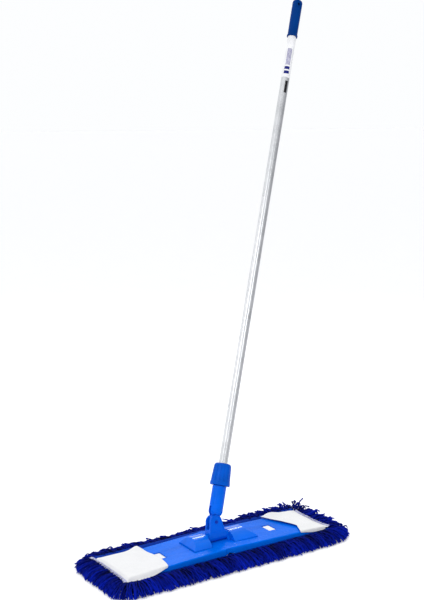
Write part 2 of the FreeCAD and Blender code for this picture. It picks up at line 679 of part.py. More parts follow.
def pad_slab(name, low, high, inset):
    """Half of the pad between two heights, outside the centre strip."""
    side = SIDES[name]
    x = (side * (CENTRE_HALF + SOFT_GAP), pad_reach(name) - side * inset)
    return box(x, (PAD_FRONT + inset, PAD_BACK - inset), (low, high))


def centre_slab(low, high, inset):
    return box((-CENTRE_HALF, CENTRE_HALF), (PAD_FRONT + inset, PAD_BACK - inset), (low, high))


def side_fringe(name, y_edge, y_tip):
    """Fringe along the front or back edge of one half of the pad."""
    side = SIDES[name]
    out = 1 if y_tip > y_edge else -1
    start = y_edge + out * SOFT_GAP
    span = abs(y_tip - start)
    points = [(start + out * span * share, z) for share, z in FRINGE_SECTION]
    low, high = sorted((side * 0.5, pad_reach(name)))
    return prism_x(points, low, high)


def end_fringe(name, x_tip):
    """Fringe round one end of the pad, with rounded corners."""
    side = SIDES[name]
    start = pad_reach(name) + side * SOFT_GAP
    span = abs(x_tip - start)
    points = [(start + side * span * share, z) for share, z in FRINGE_END_SECTION]
    shape = prism_y(points, FRINGE_FRONT, FRINGE_BACK)
    plan = box((start, x_tip), (FRINGE_FRONT, FRINGE_BACK), (-1, 30))
    corners = upright_edges(edges_where(plan, lambda p: abs(p.x - x_tip) < 0.1))
    return shape.common(plan.makeFillet(FRINGE_CORNER, corners))


def pocket_form(name, gap, mouth):
    """Tent over a wing tip, from the pad's seams up to the wing's top."""
    side = SIDES[name]
    seam = pad_reach(name) - side * SEAM_INSET
    sheet = POCKET_SHEET - gap
    high_end = side * (WING_REACH + POCKET_SIDE_GAP + sheet)
    top_y = WING_HALF_WIDTH + POCKET_SIDE_GAP + sheet
    foot = [
        (side * mouth, PAD_FRONT + gap), (seam - side * gap, PAD_FRONT + gap),
        (seam - side * gap, PAD_BACK - gap), (side * mouth, PAD_BACK - gap),
    ]
    head = [(side * mouth, -top_y), (high_end, -top_y), (high_end, top_y), (side * mouth, top_y)]
    low_wire = [Vector(x, y, BACKING_TOP + SOFT_GAP - gap * 0.1) for x, y in foot]
    high_wire = [Vector(x, y, wing_top(abs(x)) + POCKET_LIFT + sheet) for x, y in head]
    wires = [Part.makePolygon(points + points[:1]) for points in (low_wire, high_wire)]
    return Part.makeLoft(wires, True, True)


def pocket(name):
    """White pocket: a thin sheet, open at its mouth and sewn down on three sides."""
    outer = pocket_form(name, 0.0, POCKET_MOUTH)
    inner = pocket_form(name, POCKET_SHEET, POCKET_MOUTH - 5.0)
    return outer.cut(inner)


def pocket_hem(name):
    """Stitched hem along the pocket's outer seam, flat on the backing."""
    side = SIDES[name]
    seam = pad_reach(name)
    width = (seam - side * HEM_WIDTH[0], seam + side * HEM_WIDTH[1])
    height = (BACKING_TOP + HEM_HEIGHT[0], BACKING_TOP + HEM_HEIGHT[1])
    return box(width, (PAD_FRONT + 1, PAD_BACK - 1), height)


# ---- all nodes ---------------------------------------------------------------
def build_nodes():
    nodes = {
        "joint_base": joint_base(),
        "hinge_rod": hinge_rod(),
        "hinge_rod_clips": hinge_rod_clips(),
        "lower_pivot_pin": lower_pivot_pin(),
        "lower_pivot_clip": lower_pivot_clip(),
        "centre_backing": centre_slab(BACKING_BOTTOM, BACKING_TOP, 0.0),
        "centre_pile": centre_slab(0.0, PILE_TOP, 0.5),
        "yoke": on_lower_axis(yoke()),
        "upper_pivot_pin": on_lower_axis(upper_pivot_pin()),
        "upper_pivot_washer": on_lower_axis(upper_pivot_washer()),
        "socket": on_upper_axis(socket()),
        "clamp_sleeve": on_upper_axis(clamp_sleeve()),
        "locking_collar": on_upper_axis(locking_collar()),
        "pole_tube": on_upper_axis(pole_tube()),
        "tube_end_plug": on_upper_axis(tube_end_plug()),
        "hand_grip": on_upper_axis(hand_grip()),
        "label_sleeve": on_upper_axis(label_sleeve()),
    }
    tips = {"left": FRINGE_LEFT, "right": FRINGE_RIGHT}
    for name in SIDES:
        nodes[name + "_wing"] = wing(name)
        nodes[name + "_pedal"] = pedal(name)
        nodes[name + "_pedal_axle"] = pedal_axle(name)
        nodes[name + "_pedal_spring"] = pedal_spring(name)
        nodes[name + "_backing"] = pad_slab(name, BACKING_BOTTOM, BACKING_TOP, 0.0)
        nodes[name + "_pile"] = pad_slab(name, 0.0, PILE_TOP, 0.5)
        nodes[name + "_pocket"] = pocket(name)
        nodes[name + "_pocket_hem"] = pocket_hem(name)
        nodes[name + "_fringe_front"] = side_fringe(name, PAD_FRONT, FRINGE_FRONT)
        nodes[name + "_fringe_back"] = side_fringe(name, PAD_BACK, FRINGE_BACK)
        nodes[name + "_fringe_end"] = end_fringe(name, tips[name])
    return nodes


def main():
    os.makedirs("parts", exist_ok=True)
    for node, shape in build_nodes().items():
        shape.exportStep(os.path.join("parts", node + ".step"))
        print(node, len(shape.Solids), shape.isValid(), round(shape.Volume / 1000, 2))


main()
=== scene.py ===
import json
import math

import bpy
import numpy as np
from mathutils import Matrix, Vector, noise


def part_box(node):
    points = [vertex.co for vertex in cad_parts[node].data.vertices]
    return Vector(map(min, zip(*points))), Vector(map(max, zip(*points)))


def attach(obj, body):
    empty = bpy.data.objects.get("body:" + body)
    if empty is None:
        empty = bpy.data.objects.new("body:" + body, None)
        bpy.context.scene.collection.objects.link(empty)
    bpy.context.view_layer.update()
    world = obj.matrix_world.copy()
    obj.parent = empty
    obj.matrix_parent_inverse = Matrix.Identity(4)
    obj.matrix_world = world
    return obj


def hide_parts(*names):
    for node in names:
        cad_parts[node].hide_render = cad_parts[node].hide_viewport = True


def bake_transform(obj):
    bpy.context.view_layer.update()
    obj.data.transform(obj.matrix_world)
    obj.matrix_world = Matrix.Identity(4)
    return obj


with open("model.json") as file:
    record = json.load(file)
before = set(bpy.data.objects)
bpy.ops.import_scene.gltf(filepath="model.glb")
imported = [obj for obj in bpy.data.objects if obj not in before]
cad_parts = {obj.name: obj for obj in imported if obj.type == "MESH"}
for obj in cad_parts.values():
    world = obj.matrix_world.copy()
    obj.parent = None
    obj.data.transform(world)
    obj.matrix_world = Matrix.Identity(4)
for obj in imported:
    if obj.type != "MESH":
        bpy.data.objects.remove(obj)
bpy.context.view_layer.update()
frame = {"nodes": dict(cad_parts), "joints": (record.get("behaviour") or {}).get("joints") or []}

# Looks of a flat mop: moulded blue frame, white pocket pad with a blue yarn fringe and a ribbed tube.
# Metres, in the row frame: +X along the frame, +Y to the back, +Z up.

RNG = np.random.default_rng(7)
UP = np.array([0, 0, 1.0])

# ---- sizes read from the frame ----------------------------------------------
WING = {"left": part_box("left_wing"), "right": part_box("right_wing")}
BACKING = {"left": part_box("left_backing"), "right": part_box("right_backing")}
SIDE = {"left": -1.0, "right": 1.0}
PAD_FRONT = BACKING["left"][0].y
PAD_BACK = BACKING["left"][1].y
PAD_TOP = BACKING["left"][1].z
PAD_END = {"left": BACKING["left"][0].x, "right": BACKING["right"][1].x}
WING_END = {"left": WING["left"][0].x, "right": WING["right"][1].x}
WING_HALF = WING["left"][1].y
WING_TOP = WING["right"][1].z
JOINTS = {j["name"]: j for j in frame["joints"]}
UPPER_AT = Vector(JOINTS["upper_tilt"]["pos_m"])
POLE_DIR = Vector(JOINTS["pole_slide"]["axis"]).normalized()
FRONT_DIR = Vector(JOINTS["upper_tilt"]["axis"]).normalized()
WING_SLOPE = 0.031        # fall of a wing's top outwards, in metres per metre
WINDOW_X = (0.157, 0.181) # inner and outer edge of the window in each wing
WINDOW_HALF = 0.019       # half of the window's depth


# ---- materials ----------------------------------------------------------------
ONE_BAND = 2 * math.pi / 10      # wave scale that gives one diagonal band per unit of length


class Shader:
    """A material with a Principled shader and short helpers for its nodes."""

    def __init__(self, name, colour, **values):
        self.material = bpy.data.materials.new(name)
        self.material.use_nodes = True
        self.tree = self.material.node_tree
        self.bsdf = self.tree.nodes["Principled BSDF"]
        self.bsdf.inputs["Base Color"].default_value = (*colour, 1.0)
        for socket, value in values.items():
            self.bsdf.inputs[socket.replace("_", " ").title().replace("Ior", "IOR")].default_value = value
        self.coordinates = self.node("ShaderNodeTexCoord").outputs["Object"]

    def node(self, kind, **settings):
        made = self.tree.nodes.new(kind)
        for key, value in settings.items():
            if hasattr(made, key):
                setattr(made, key, value)
            else:
                made.inputs[key.replace("_", " ").title()].default_value = value
        return made

    def link(self, source, target):
        self.tree.links.new(source, target)

    def noise(self, scale, detail=4.0, stretch=(1, 1, 1)):
        """Noise in the row frame, squeezed along an axis by stretch."""
        made = self.node("ShaderNodeTexNoise", scale=scale, detail=detail)
        self.link(self.stretched(stretch), made.inputs["Vector"])
        return made.outputs["Fac"]

    def stretched(self, stretch):
        if stretch == (1, 1, 1):
            return self.coordinates
        mapping = self.node("ShaderNodeMapping")
        mapping.inputs["Scale"].default_value = stretch
        self.link(self.coordinates, mapping.inputs["Vector"])
        return mapping.outputs["Vector"]

    def wave(self, scale, direction, distortion=0.0, vector=None):
        made = self.node("ShaderNodeTexWave", wave_type="BANDS", bands_direction=direction)
        made.inputs["Scale"].default_value = scale
        made.inputs["Distortion"].default_value = distortion
        self.link(vector or self.coordinates, made.inputs["Vector"])
        return made.outputs["Fac"]

    def ramp(self, value, stops):
        made = self.node("ShaderNodeValToRGB")
        elements = made.color_ramp.elements
        for i, (place, colour) in enumerate(stops):
            element = elements[i] if i < 2 else elements.new(place)
            element.position = place
            element.color = (*colour, 1.0)
        self.link(value, made.inputs["Fac"])
        return made.outputs["Color"]

    def maths(self, operation, first, second):
        made = self.node("ShaderNodeMath", operation=operation)
        for i, value in enumerate((first, second)):
            if isinstance(value, (int, float)):
                made.inputs[i].default_value = value
            else:
                self.link(value, made.inputs[i])
        return made.outputs[0]

    def spread(self, value, low, high):
        made = self.node("ShaderNodeMapRange")
        made.inputs["To Min"].default_value = low
        made.inputs["To Max"].default_value = high
        self.link(value, made.inputs["Value"])
        return made.outputs["Result"]

    def bump(self, height, strength, distance, under=None):
        made = self.node("ShaderNodeBump")
        made.inputs["Strength"].default_value = strength
        made.inputs["Distance"].default_value = distance
        self.link(height, made.inputs["Height"])
        if under is not None:
            self.link(under, made.inputs["Normal"])
        return made.outputs["Normal"]

    def attribute(self, name):
        return self.node("ShaderNodeAttribute", attribute_name=name).outputs["Fac"]

    def set(self, socket, source):
        self.link(source, self.bsdf.inputs[socket])


def scaled(colour, factor):
    return tuple(min(1.0, c * factor) for c in colour)


def plastic(name, colour, roughness, coat=0.0, grain=0.08, specular=0.14):
    """Moulded plastic: faint flow marks in the colour, handling marks in the gloss, a fine grain."""
    shader = Shader(name, colour, coat_weight=coat, coat_roughness=0.10, specular_ior_level=specular)
    flow = shader.noise(14.0, 3.0, (0.5, 2.5, 2.0))
    tones = [(0.3, scaled(colour, 0.88)), (0.7, scaled(colour, 1.08))]
    shader.set("Base Color", shader.ramp(flow, tones))
    wear = shader.noise(60.0, 6.0)
    shader.set("Roughness", shader.spread(wear, roughness * 0.75, roughness * 1.3))
    soft = shader.bump(shader.noise(35.0, 2.0), 0.12, 0.0006)
    shader.set("Normal", shader.bump(shader.noise(1400.0, 2.0), grain, 0.0002, soft))
    return shader.material


def along_pole(shader):
    """Coordinates whose third component runs along the pole."""
    side = FRONT_DIR.cross(POLE_DIR)
    join = shader.node("ShaderNodeCombineXYZ")
    for i, axis in enumerate((side, FRONT_DIR, POLE_DIR)):
        dot = shader.node("ShaderNodeVectorMath", operation="DOT_PRODUCT")
        dot.inputs[1].default_value = axis
        shader.link(shader.coordinates, dot.inputs[0])
        shader.link(dot.outputs["Value"], join.inputs[i])
    return join.outputs["Vector"]


def aluminium():
    """Drawn tube: fine scratches along its length and a few dull patches."""
    shader = Shader("tube_aluminium", (0.66, 0.67, 0.69), metallic=1.0)
    vector = along_pole(shader)
    mapping = shader.node("ShaderNodeMapping")
    mapping.inputs["Scale"].default_value = (1.0, 1.0, 0.012)
    shader.link(vector, mapping.inputs["Vector"])
    scratches = shader.node("ShaderNodeTexNoise", scale=2600.0, detail=5.0)
    shader.link(mapping.outputs["Vector"], scratches.inputs["Vector"])
    patches = shader.noise(24.0, 3.0)
    fine = shader.maths("MULTIPLY", scratches.outputs["Fac"], 0.55)
    broad = shader.maths("MULTIPLY", patches, 0.45)
    shader.set("Roughness", shader.spread(shader.maths("ADD", fine, broad), 0.16, 0.42))
    shader.set("Base Color", shader.ramp(patches, [(0.3, (0.60, 0.61, 0.63)), (0.7, (0.71, 0.72, 0.74))]))
    shader.set("Normal", shader.bump(scratches.outputs["Fac"], 0.05, 0.0002))
    return shader.material


def steel():
    """Zinc plated steel."""
    shader = Shader("zinc_steel", (0.55, 0.55, 0.56), metallic=1.0)
    marks = shader.noise(220.0, 5.0)
    shader.set("Roughness", shader.spread(marks, 0.22, 0.45))
    shader.set("Base Color", shader.ramp(marks, [(0.3, (0.46, 0.46, 0.47)), (0.7, (0.62, 0.62, 0.60))]))
    return shader.material


def cloth(name, colour, thread, sheen, mottle=0.05, specular=0.3):
    """Plain weave: warp and weft bands at the thread's width, with a faint mottle."""
    shader = Shader(name, colour, roughness=0.85, specular_ior_level=specular)
    shader.bsdf.inputs["Sheen Weight"].default_value = sheen
    shader.bsdf.inputs["Sheen Roughness"].default_value = 0.4
    bands = ONE_BAND / (4 * thread)
    warp = shader.wave(bands, "X", 0.6)
    weft = shader.wave(bands, "Y", 0.6)
    weave = shader.maths("MULTIPLY", warp, weft)
    cloudy = shader.noise(30.0, 5.0)
    mixed = shader.maths("MULTIPLY", shader.maths("ADD", weave, cloudy), 0.5)
    tones = [(0.15, scaled(colour, 1 - mottle)), (0.75, scaled(colour, 1 + mottle))]
    shader.set("Base Color", shader.ramp(mixed, tones))
    folds = shader.bump(shader.noise(70.0, 3.0), 0.25, 0.0008)
    shader.set("Normal", shader.bump(weave, 0.45, thread * 0.35, folds))
    return shader.material


def yarn(name, dark, light, sheen):
    """Twisted yarn: each strand's tone, which carries the fringe's painted shade, is darkened by painted
    shade towards its root under the pad; a ply twist in the bump.
    """
    shader = Shader(name, dark, roughness=0.85, specular_ior_level=0.05)
    shader.bsdf.inputs["Sheen Weight"].default_value = sheen
    shader.bsdf.inputs["Sheen Roughness"].default_value = 0.35
    shader.bsdf.inputs["Sheen Tint"].default_value = (0.15, 0.4, 1.0, 1.0)
    tone_and_shade = shader.attribute("tone_and_shade")
    along = shader.attribute("along")
    # painted shade: the share along the strand darkens its root end, which lies under the pad
    mixed = shader.maths("ADD", shader.maths("MULTIPLY", tone_and_shade, 0.6), shader.maths("MULTIPLY", along, 0.4))
    shader.set("Base Color", shader.ramp(mixed, [(0.1, dark), (0.95, light)]))
    uv = shader.node("ShaderNodeUVMap", uv_map="strand").outputs["UV"]
    ply = shader.wave(ONE_BAND * 4, "DIAGONAL", 0.0, uv)
    fuzz = shader.bump(shader.noise(1500.0, 3.0), 0.45, 0.0004)
    shader.set("Normal", shader.bump(ply, 0.6, 0.0006, fuzz))
    return shader.material


FRAME_BLUE = plastic("frame_plastic", (0.0, 0.140, 0.77), 0.26, 0.0, 0.08, 0.025)
PEDAL_BLUE = plastic("pedal_plastic", (0.0, 0.145, 0.79), 0.19, 0.0, 0.05, 0.22)
JOINT_BLUE = plastic("joint_plastic", (0.0, 0.118, 0.72), 0.24, 0.02, 0.08, 0.06)
COLLAR_BLUE = plastic("collar_plastic", (0.0, 0.085, 0.52), 0.34, 0.0, 0.15, 0.06)
PIN_BLUE = plastic("pin_plastic", (0.0, 0.03, 0.35), 0.4)
GRIP_BLUE = plastic("grip_plastic", (0.0, 0.034, 0.19), 0.42, 0.0, 0.3, 0.04)
BLACK = plastic("black_plastic", (0.012, 0.012, 0.014), 0.5)
LABEL = plastic("label_film", (0.78, 0.78, 0.80), 0.35, 0.1, 0.03)
INK = plastic("label_ink", (0.005, 0.01, 0.16), 0.35, 0.1, 0.03)
PALE_INK = plastic("label_pale_ink", (0.09, 0.075, 0.30), 0.35, 0.1, 0.03)
ALUMINIUM = aluminium()
STEEL = steel()
POCKET_WHITE = cloth("pocket_cloth", (0.78, 0.78, 0.785), 0.0006, 0.1)
CANVAS = cloth("backing_canvas", (0.82, 0.82, 0.83), 0.0009, 0.1)
TAPE_BLUE = cloth("edge_tape", (0.0005, 0.030, 0.30), 0.0008, 0.0, 0.15, 0.04)
YARN_BLUE = yarn("yarn_blue", (0.0001, 0.0006, 0.030), (0.001, 0.014, 0.46), 0.03)
YARN_PALE = yarn("yarn_pale", (0.55, 0.55, 0.85), (0.85, 0.85, 0.95), 0.3)

NODE_LOOKS = {
    "left_wing": FRAME_BLUE, "right_wing": FRAME_BLUE, "joint_base": FRAME_BLUE,
    "left_pedal": PEDAL_BLUE, "right_pedal": PEDAL_BLUE,
    "yoke": JOINT_BLUE, "socket": JOINT_BLUE, "locking_collar": COLLAR_BLUE,
    "upper_pivot_pin": PIN_BLUE, "hand_grip": GRIP_BLUE, "label_sleeve": LABEL, "pole_tube": ALUMINIUM,
    "clamp_sleeve": BLACK, "tube_end_plug": BLACK,
    "hinge_rod": STEEL, "hinge_rod_clips": STEEL, "lower_pivot_pin": STEEL, "lower_pivot_clip": STEEL,
    "upper_pivot_washer": STEEL, "left_pedal_axle": STEEL, "right_pedal_axle": STEEL,
    "left_pedal_spring": STEEL, "right_pedal_spring": STEEL,
}


def paint_nodes():
    """Gives every CAD node that stays in view its finished material."""
    for name, material in NODE_LOOKS.items():
        for slot in frame["nodes"][name].material_slots:
            slot.material = material


# ---- mesh helpers ----------------------------------------------------------------
def mesh_object(name, points, faces, material, smooth=True):
    mesh = bpy.data.meshes.new(name)
    mesh.from_pydata([tuple(p) for p in points], [], [tuple(f) for f in faces])
    mesh.materials.append(material)
    if smooth:
        mesh.polygons.foreach_set("use_smooth", [True] * len(mesh.polygons))
    mesh.update()
    made = bpy.data.objects.new(name, mesh)
    bpy.context.scene.collection.objects.link(made)
    return made


def strand_rings(paths, radius, across, run, sides, lobes, pitch):
    """Points of the rings round each strand, whose two lobes turn half round in every pitch."""
    tangent = np.gradient(paths, axis=1)
    tangent /= np.linalg.norm(tangent, axis=2, keepdims=True) + 1e-12
    first = np.cross(tangent, across[:, None, :])
    first /= np.linalg.norm(first, axis=2, keepdims=True) + 1e-12
    second = np.cross(tangent, first)
    angle = np.arange(sides) * 2 * math.pi / sides
    start = RNG.uniform(0, 2 * math.pi, (len(paths), 1, 1))
    ply = 1 + lobes * np.cos(2 * angle[None, None, :] - 2 * math.pi * run[:, :, None] / pitch + start)
    r = radius[:, :, None] * ply
    return (
        paths[:, :, None, :]
        + first[:, :, None, :] * (r * np.cos(angle))[..., None]
        + second[:, :, None, :] * (r * np.sin(angle))[..., None]
    )


def strand_faces(count, steps, sides):
    """Quads along each strand and triangles over its two ends, whose middles are its last two points."""
    ring = np.arange(sides)
    after = (ring + 1) % sides
    base = np.arange(steps - 1)[:, None] * sides
    quads = np.stack([base + ring, base + after, base + sides + after, base + sides + ring], axis=-1)
    last = (steps - 1) * sides
    root_cap = np.stack([after, ring, np.full(sides, steps * sides)], axis=-1)
    tip_cap = np.stack([last + ring, last + after, np.full(sides, steps * sides + 1)], axis=-1)
    shift = np.arange(count)[:, None, None] * (steps * sides + 2)
    quads = (quads.reshape(-1, 4)[None] + shift).reshape(-1, 4)
    caps = (np.concatenate([root_cap, tip_cap])[None] + shift).reshape(-1, 3)
    return quads, caps


def per_point(values, sides, root, tip):
    """Values of each strand's rings, then its root's and tip's, one for each point."""
    return np.concatenate([np.repeat(values, sides, axis=1), root, tip], axis=1).ravel()


def strands(name, paths, radius, across, material, sides=7, lobes=0.2, pitch=0.013, tones=None):
    """Twisted two-ply strands as one mesh.

    paths is (strand, point, xyz), radius is (strand, point) and across is (strand, xyz).
    """
    count, steps, _ = paths.shape
    lengths = np.linalg.norm(np.diff(paths, axis=1), axis=2)
    zero = np.zeros((count, 1))
    run = np.concatenate([zero, np.cumsum(lengths, axis=1)], axis=1)
    rings = strand_rings(paths, radius, across, run, sides, lobes, pitch)
    ends = paths[:, [0, -1], :]
    points = np.concatenate([rings.reshape(count, steps * sides, 3), ends], axis=1).reshape(-1, 3)
    mesh = bpy.data.meshes.new(name)
    fill_mesh(mesh, points, *strand_faces(count, steps, sides))
    tone_and_shade = np.repeat(RNG.uniform(0, 1, count) if tones is None else tones, steps * sides + 2)
    # share of the way from root to tip, which the yarn shader turns into painted shade at the root
    along = per_point(run / (run[:, -1:] + 1e-9), sides, zero, zero + 1)
    for label, values in (("tone_and_shade", tone_and_shade), ("along", along)):
        mesh.attributes.new(label, "FLOAT", "POINT").data.foreach_set("value", values.astype(np.float32))
    turn = np.tile(np.append(np.tile(np.arange(sides) / sides, steps), [0, 0]), count)
    uv = np.stack([turn, -per_point(run, sides, zero, run[:, -1:]) / (2 * pitch)], axis=-1)
    corner = np.zeros(len(mesh.loops), np.int32)
    mesh.loops.foreach_get("vertex_index", corner)
    mesh.uv_layers.new(name="strand").data.foreach_set("uv", uv[corner].astype(np.float32).ravel())
    mesh.materials.append(material)
    made = bpy.data.objects.new(name, mesh)
    bpy.context.scene.collection.objects.link(made)
    return made


def fill_mesh(mesh, points, quads, triangles):
    """Fast mesh from arrays of points, quads and triangles, all smooth."""
    corners = np.concatenate([quads.ravel(), triangles.ravel()])
    sizes = np.concatenate([np.full(len(quads), 4), np.full(len(triangles), 3)])
    mesh.vertices.add(len(points))
    mesh.vertices.foreach_set("co", points.astype(np.float32).ravel())
    mesh.loops.add(len(corners))
    mesh.loops.foreach_set("vertex_index", corners.astype(np.int32))
    mesh.polygons.add(len(sizes))
    mesh.polygons.foreach_set("loop_start", np.concatenate([[0], np.cumsum(sizes)[:-1]]).astype(np.int32))
    mesh.polygons.foreach_set("use_smooth", np.ones(len(sizes), bool))
    mesh.update(calc_edges=True)
    mesh.validate()


def on_half(piece):
    """Bakes the piece's placement into its mesh."""
    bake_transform(piece)


# ---- yarn ----------------------------------------------------------------------
STRAND_R = 0.0018
STEPS = 20                # points along a strand
TUFT = 0.013              # width of a group of strands whose tips lean together
FAN = 0.050               # length of edge over which the strands turn round a corner
FRINGE_CORNERS = (0.050, 0.080)   # radii of the tips' outline: front left and back right, the others
STAND_FULL = 0.06         # rise of a tip that would take all of a strand's reach
FRINGE_LOW = Vector((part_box("left_fringe_end")[0].x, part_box("left_fringe_front")[0].y, 0))
FRINGE_HIGH = Vector((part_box("right_fringe_end")[1].x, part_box("left_fringe_back")[1].y, 0))

# each layer of strands, from the lowest up: share of the reach and height of its roots
LAYERS = [(0.56, 0.0065), (0.76, 0.0100), (0.90, 0.0135), (0.97, 0.0170), (1.00, 0.0200)]
SPACING = 0.0036          # distance between the roots of one layer
FIRST_ROOT = 0.0005       # distance of the first root from the fold line
ROOT_IN = 0.005           # how far a root may lie inside the pad's edge
LYING_TIP = 0.0022        # height of a tip that lies on the floor
# control points of a strand: shares of its reach outwards and of its sway
CURVE_OUT = (0.0, 0.38, 0.84, 1.0)
CURVE_ASIDE = (0.0, 0.10, 0.55, 1.0)
GATHER = 0.52             # share of the way to its tuft's middle that a tip moves
DRIFT = 0.009             # slow sideways drift of the tips along an edge
DRIFT_OWN = 0.0016        # each tip's own part of the drift
RAGGED = 0.09             # how much the tufts differ in reach
STRAY_SHARE = 0.05        # share of the upper strands whose tips stick up
CRINKLE = 0.0009          # size of a strand's own waves
# how each edge lies: how far its tips rise, and how unruly its strands are
EDGE_STYLE = {
    ("left", "end"): (0.0005, 0.35),
    ("right", "end"): (0.0120, 1.5),
    ("left", "front"): (0.0010, 0.9),
    ("right", "front"): (0.0010, 0.9),
    ("left", "back"): (0.0050, 1.4),
    ("right", "back"): (0.0060, 1.4),
}
# the shaggy stretches of the back edge: how high their tips stand, their middle and their width
SHAGGY = [(0.022, -0.215, 0.080), (0.040, 0.265, 0.065)]
END_SHAG = 0.026          # how high the tips stand at the back of the right end


def smooth_noise(values, scale, seed):
    """Slow random drift along an edge, from -1 to 1."""
    return np.array([noise.noise(Vector((float(v) * scale, seed, 0.0))) for v in values])


def bezier(p0, p1, p2, p3, steps):
    t = np.linspace(0, 1, steps)[None, :, None]
    p = [q[:, None, :] for q in (p0, p1, p2, p3)]
    return (1 - t) ** 3 * p[0] + 3 * t * (1 - t) ** 2 * p[1] + 3 * t * t * (1 - t) * p[2] + t ** 3 * p[3]


def outline_reach(roots, outward):
    """Distance from each root to the rounded rectangle that the longest tips reach."""
    steps = np.linspace(0, 0.16, 161)
    middle = np.array((FRINGE_LOW + FRINGE_HIGH) / 2)[:2]
    places = roots[:, None, :2] + outward[:, None, :2] * steps[None, :, None] - middle
    corner = np.where(places.prod(axis=2) > 0, *FRINGE_CORNERS)
    half = np.array((FRINGE_HIGH - FRINGE_LOW) / 2)[:2] - corner[..., None]
    past = np.abs(places) - half
    outside = np.linalg.norm(np.maximum(past, 0), axis=2) + np.minimum(past.max(axis=2), 0)
    return (outside < corner).sum(axis=1) * (steps[1] - steps[0])


def taper(count, steps, radius):
    """Strand radii with a rounded root and a tip that thins out."""
    t = np.linspace(0, 1, steps)
    shape = np.minimum(1.0, 0.6 + 4 * t) * np.where(t > 0.92, 1 - (t - 0.92) / 0.08 * 0.35, 1.0)
    return radius[:, None] * shape[None, :]


def edge_frame(name, edge, count):
    """Roots, outward directions and place along the edge for the strands of one edge of one half."""
    side = SIDE[name]
    end_x = PAD_END[name]
    if edge == "end":
        place = np.linspace(PAD_FRONT, PAD_BACK, count)
        roots = np.stack([np.full(count, end_x), place, np.zeros(count)], axis=-1)
        near_front = np.clip(1 - (place - PAD_FRONT) / FAN, 0, 1)
        near_back = np.clip(1 - (PAD_BACK - place) / FAN, 0, 1)
        turn = (near_back ** 1.5 - near_front ** 1.5) * math.radians(45)
        outward = np.stack([side * np.cos(turn), np.sin(turn), np.zeros(count)], axis=-1)
    else:
        sign, edge_y = (-1.0, PAD_FRONT) if edge == "front" else (1.0, PAD_BACK)
        place = np.linspace(FIRST_ROOT * side, end_x, count)
        roots = np.stack([place, np.full(count, edge_y), np.zeros(count)], axis=-1)
        near = np.clip(1 - np.abs(end_x - place) / FAN, 0, 1)
        turn = near ** 1.5 * math.radians(45)
        outward = np.stack([side * np.sin(turn), sign * np.cos(turn), np.zeros(count)], axis=-1)
    return roots, outward, place


def shag(name, edge, place):
    """How high the tips may stand: near both ends of the back edge, and at the right end's back half."""
    if edge == "front" or (name, edge) == ("left", "end"):
        return np.zeros(len(place))
    if edge == "end":
        return END_SHAG * np.clip((place + 0.03) / 0.10, 0, 1)
    return sum(height * np.exp(-(((place - middle) / width) ** 2)) for height, middle, width in SHAGGY)


def tufts(place, level, seed):
    """Number of each strand's tuft, and the place of the tuft's middle."""
    shifted = place + TUFT * (0.4 * level + 1.4 * smooth_noise(place, 24.0, seed + 5))
    tuft = np.floor(shifted / TUFT)
    return tuft, place + (tuft + 0.5) * TUFT - shifted


def strand_curves(root, outward, across, reach, sway, heights):
    """Curves from the pad's edge to their tips, with control points at the four heights."""
    points = [
        root + outward * (reach * out)[:, None] + across * (sway * aside)[:, None] + UP * height[:, None]
        for out, aside, height in zip(CURVE_OUT, CURVE_ASIDE, heights)
    ]
    return bezier(*points, STEPS)


def crinkled(paths, amount):
    """The curves with slow waves of their own, kept above the floor."""
    t = np.linspace(0, 1, STEPS)[None, :, None]
    for k in (1, 2, 3):
        wave = RNG.normal(0, amount, (len(paths), 1, 3))
        paths += wave * np.sin(k * math.pi * 1.3 * t)
    paths[:, :, 2] = np.maximum(paths[:, :, 2], STRAND_R * 1.4)
    return paths


